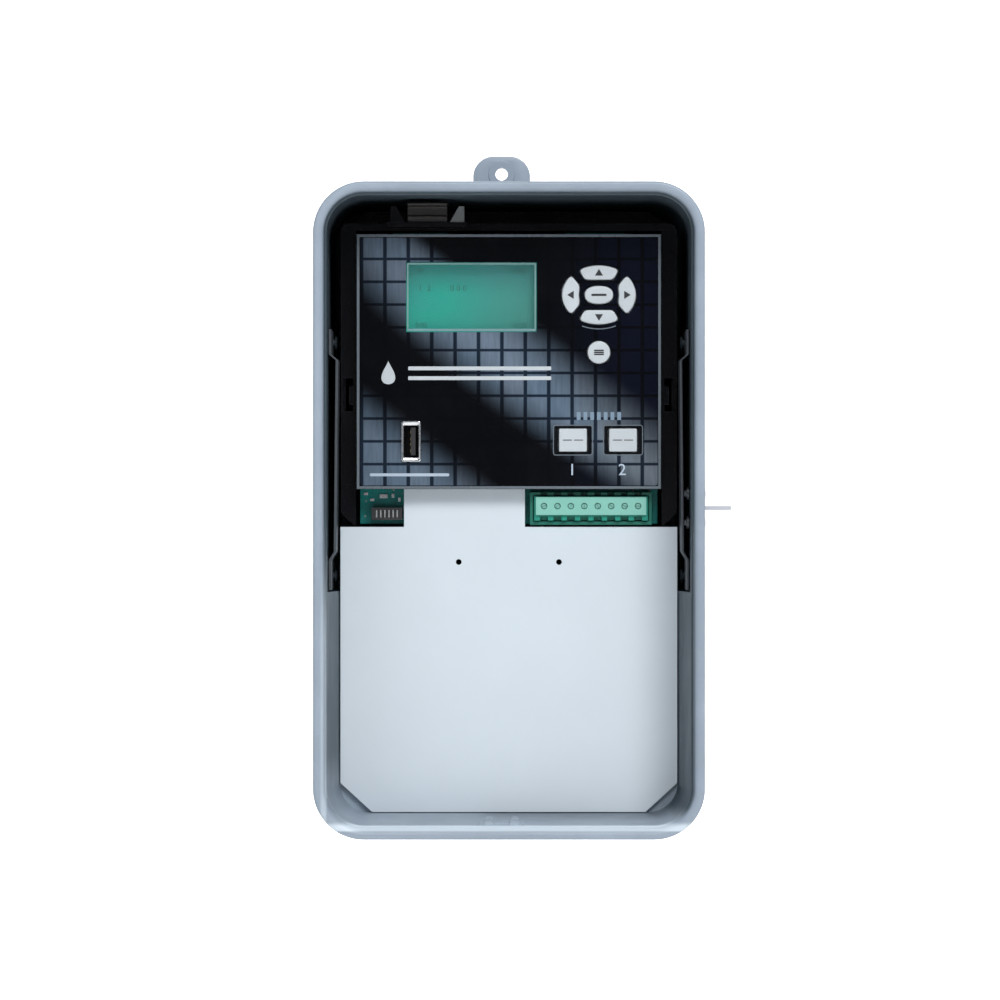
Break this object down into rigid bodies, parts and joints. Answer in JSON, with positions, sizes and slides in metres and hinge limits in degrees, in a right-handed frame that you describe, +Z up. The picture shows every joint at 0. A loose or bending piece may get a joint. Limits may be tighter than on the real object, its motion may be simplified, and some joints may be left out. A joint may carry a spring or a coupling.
{
  "type": "wall-mounted irrigation controller",
  "caption": "Grey wall box open at the front, holding a plug-in controller module with display, keys, data port, green terminal plug and a hinged white dead-front shield.",
  "frame": {"origin": "middle of the box's flat back face, where it meets the wall", "axes": "+X to the right seen from the front, +Y into the wall, +Z up"},
  "size_m": [0.156, 0.095, 0.2614],
  "materials": {
    "grey_shell": "moulded grey, fine satin texture",
    "rail_grey": "moulded dark grey, satin",
    "black_base": "moulded black, fine texture",
    "panel_black": "moulded black, satin edge",
    "overlay_print": "printed polyester film, semi-gloss, blue-grey grid on black",
    "clear_window": "clear moulded window",
    "display_frame": "black painted pressed steel",
    "display_glass": "teal green liquid-crystal cell",
    "display_backlight": "light-guide sheet",
    "circuit_board": "green solder mask",
    "chip_black": "moulded black",
    "keypad_rubber": "matte silicone",
    "key_white": "off-white, smooth",
    "socket_metal": "nickel plated",
    "steel": "zinc plated",
    "brass": "machined",
    "connector_green": "moulded green",
    "marker_strip": "pale green marker strip",
    "relay_case": "moulded black case",
    "core_iron": "laminated core, varnished",
    "winding_tape": "yellow insulating tape",
    "capacitor_can": "aluminium can in a shrink sleeve",
    "arrester_disc": "dipped blue coating",
    "terminal_black": "moulded black phenolic",
    "ribbon_grey": "grey ribbon cable jacket",
    "white_sheet": "smooth off-white sheet"
  },
  "bodies": {
    "enclosure_body": {"enclosure": "grey_shell", "left_rail": "rail_grey", "right_rail": "rail_grey", "hasp_tab": "steel", "hasp_rivet_lower": "steel", "hasp_rivet_upper": "steel", "ground_bar": "brass", "ground_screw_1": "steel", "ground_screw_2": "steel", "ground_screw_3": "steel", "ground_screw_4": "steel", "knockout_left": "grey_shell", "knockout_right": "grey_shell", "knockout_rear": "grey_shell"},
    "module": {"module_base": "black_base", "face_panel": "panel_black", "face_overlay": "overlay_print", "display_window": "clear_window", "lcd_frame": "display_frame", "lcd_glass": "display_glass", "backlight": "display_backlight", "lcd_board": "circuit_board", "keypad_mat": "keypad_rubber", "usb_shell": "socket_metal", "usb_tongue": "chip_black", "front_board": "circuit_board", "board_screw_1": "steel", "board_screw_2": "steel", "board_screw_3": "steel", "board_screw_4": "steel", "microcontroller": "chip_black", "backup_battery": "steel", "option_header": "chip_black", "terminal_header": "connector_green", "power_board": "circuit_board", "relay_1": "relay_case", "relay_2": "relay_case", "transformer_core": "core_iron", "transformer_winding": "winding_tape", "supply_capacitor": "capacitor_can", "surge_arrester": "arrester_disc", "line_terminal_block": "terminal_black", "ribbon_socket_front": "chip_black", "ribbon_socket_rear": "chip_black", "ribbon_cable": "ribbon_grey", "shield_hinge_pin": "steel"},
    "latch": {"latch_tab": "black_base"},
    "shield": {"dead_front_shield": "white_sheet"},
    "plug": {"terminal_plug": "connector_green", "terminal_label": "marker_strip"},
    "key_up": {"key_up": "key_white"},
    "key_down": {"key_down": "key_white"},
    "key_left": {"key_left": "key_white"},
    "key_right": {"key_right": "key_white"},
    "key_enter": {"key_enter": "key_white"},
    "key_menu": {"key_menu": "key_white"},
    "key_circuit_1": {"key_circuit_1": "key_white"},
    "key_circuit_2": {"key_circuit_2": "key_white"}
  },
  "joints": [
    {"name": "module_slide", "type": "slide", "parent": "enclosure_body", "child": "module", "axis": [0, -1, 0], "range_m": [0, 0.08]},
    {"name": "latch_flex", "type": "hinge", "parent": "module", "child": "latch", "pos_m": [-0.0307, -0.0699, 0.1094], "axis": [-1, 0, 0], "range_deg": [0, 8], "stiffness_Nm_per_rad": 0.4},
    {"name": "shield_swing", "type": "hinge", "parent": "module", "child": "shield", "pos_m": [-0.0168, -0.0626, 0.0104], "axis": [-1, 0, 0], "range_deg": [0, 60]},
    {"name": "plug_pull", "type": "slide", "parent": "module", "child": "plug", "axis": [0, -1, 0], "range_m": [0, 0.008]},
    {"name": "key_up_press", "type": "slide", "parent": "module", "child": "key_up", "axis": [0, 1, 0], "range_m": [0, 0.0008], "stiffness_N_per_m": 400},
    {"name": "key_down_press", "type": "slide", "parent": "module", "child": "key_down", "axis": [0, 1, 0], "range_m": [0, 0.0008], "stiffness_N_per_m": 400},
    {"name": "key_left_press", "type": "slide", "parent": "module", "child": "key_left", "axis": [0, 1, 0], "range_m": [0, 0.0008], "stiffness_N_per_m": 400},
    {"name": "key_right_press", "type": "slide", "parent": "module", "child": "key_right", "axis": [0, 1, 0], "range_m": [0, 0.0008], "stiffness_N_per_m": 400},
    {"name": "key_enter_press", "type": "slide", "parent": "module", "child": "key_enter", "axis": [0, 1, 0], "range_m": [0, 0.0008], "stiffness_N_per_m": 400},
    {"name": "key_menu_press", "type": "slide", "parent": "module", "child": "key_menu", "axis": [0, 1, 0], "range_m": [0, 0.0008], "stiffness_N_per_m": 400},
    {"name": "key_circuit_1_press", "type": "slide", "parent": "module", "child": "key_circuit_1", "axis": [0, 1, 0], "range_m": [0, 0.0008], "stiffness_N_per_m": 400},
    {"name": "key_circuit_2_press", "type": "slide", "parent": "module", "child": "key_circuit_2", "axis": [0, 1, 0], "range_m": [0, 0.0008], "stiffness_N_per_m": 400}
  ]
}
